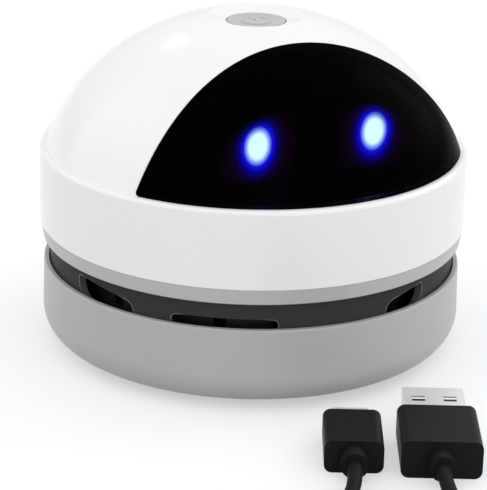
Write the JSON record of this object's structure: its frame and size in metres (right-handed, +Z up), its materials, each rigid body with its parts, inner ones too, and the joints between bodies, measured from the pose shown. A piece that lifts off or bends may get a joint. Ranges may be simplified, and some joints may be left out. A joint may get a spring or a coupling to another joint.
{
  "type": "desktop mini vacuum cleaner",
  "caption": "Round dust cup under a lift-off domed housing with black visor, lit eyes, fan drum and press button on top; its charging cable lies in front.",
  "frame": {"origin": "on the table under the centre of the round body", "axes": "+Z up, -Y out of the visor's middle, +X to the right of someone looking at the face"},
  "size_m": [0.09, 0.1753, 0.0703],
  "materials": {
    "dome_white": "gloss white moulded plastic",
    "cup_grey": "satin light grey moulded plastic",
    "trim_grey": "satin grey moulded plastic",
    "visor_black": "high gloss black tinted plastic",
    "drum_smoke": "smoky dark satin plastic",
    "inner_black": "matt black plastic",
    "button_grey": "satin light grey plastic",
    "eye_glow": "lit blue diffuser",
    "lamp_clear": "clear moulded lamp",
    "steel": "plain steel",
    "plug_metal": "nickel plated steel",
    "plug_plastic": "white contact carrier",
    "cable_black": "soft black cable jacket",
    "magnet": "dark sintered magnet",
    "cell_sleeve": "shrink sleeve on a cell",
    "circuit_green": "circuit board",
    "rubber_pad": "soft rubber",
    "bristle": "nylon bristles",
    "filter_white": "non-woven filter cloth",
    "fan_plastic": "glass-filled nylon"
  },
  "bodies": {
    "dust_cup": {"base_shell": "cup_grey", "foot_pads": "rubber_pad", "inlet_nozzle": "inner_black", "bristle_strips": "bristle", "cable_lead_a": "cable_black", "cable_lead_micro": "cable_black", "cable_coil": "cable_black", "usb_a_shell": "plug_metal", "usb_a_insert": "plug_plastic", "usb_a_grip": "cable_black", "micro_usb_shell": "plug_metal", "micro_usb_insert": "inner_black", "micro_usb_grip": "cable_black"},
    "housing": {"fan_housing": "drum_smoke", "drum_seal": "rubber_pad", "filter_frame": "inner_black", "filter_cloth": "filter_white", "outlet_grille": "inner_black", "fan_inlet_plate": "inner_black", "motor_magnets": "magnet", "motor_can": "steel", "motor_end_cap": "inner_black", "motor_screws": "steel", "motor_deck": "inner_black", "trim_ring": "trim_grey", "skirt_ring": "dome_white", "band_screws": "steel", "dome_cover": "dome_white", "visor": "visor_black", "eye_lenses": "eye_glow", "eye_lights": "lamp_clear", "eye_board": "circuit_green", "eye_bracket": "inner_black", "battery_cell": "cell_sleeve", "battery_cradle": "inner_black", "charge_board": "circuit_green", "micro_usb_socket": "plug_metal", "main_board": "circuit_green", "board_screws": "steel", "power_switch": "inner_black"},
    "fan_rotor": {"impeller": "fan_plastic", "motor_shaft": "steel", "motor_rotor": "steel"},
    "power_button": {"button_cap": "button_grey", "switch_plunger": "plug_plastic"}
  },
  "joints": [
    {"name": "housing_lift", "type": "slide", "parent": "dust_cup", "child": "housing", "axis": [0, 0, 1], "range_m": [0, 0.05]},
    {"name": "fan_spin", "type": "hinge", "parent": "housing", "child": "fan_rotor", "pos_m": [0, 0, 0.02], "axis": [0, 0, 1], "continuous": true},
    {"name": "button_press", "type": "slide", "parent": "housing", "child": "power_button", "axis": [0, 0, -1], "range_m": [0, 0.001], "stiffness_N_per_m": 400, "springref_m": -0.0005}
  ]
}
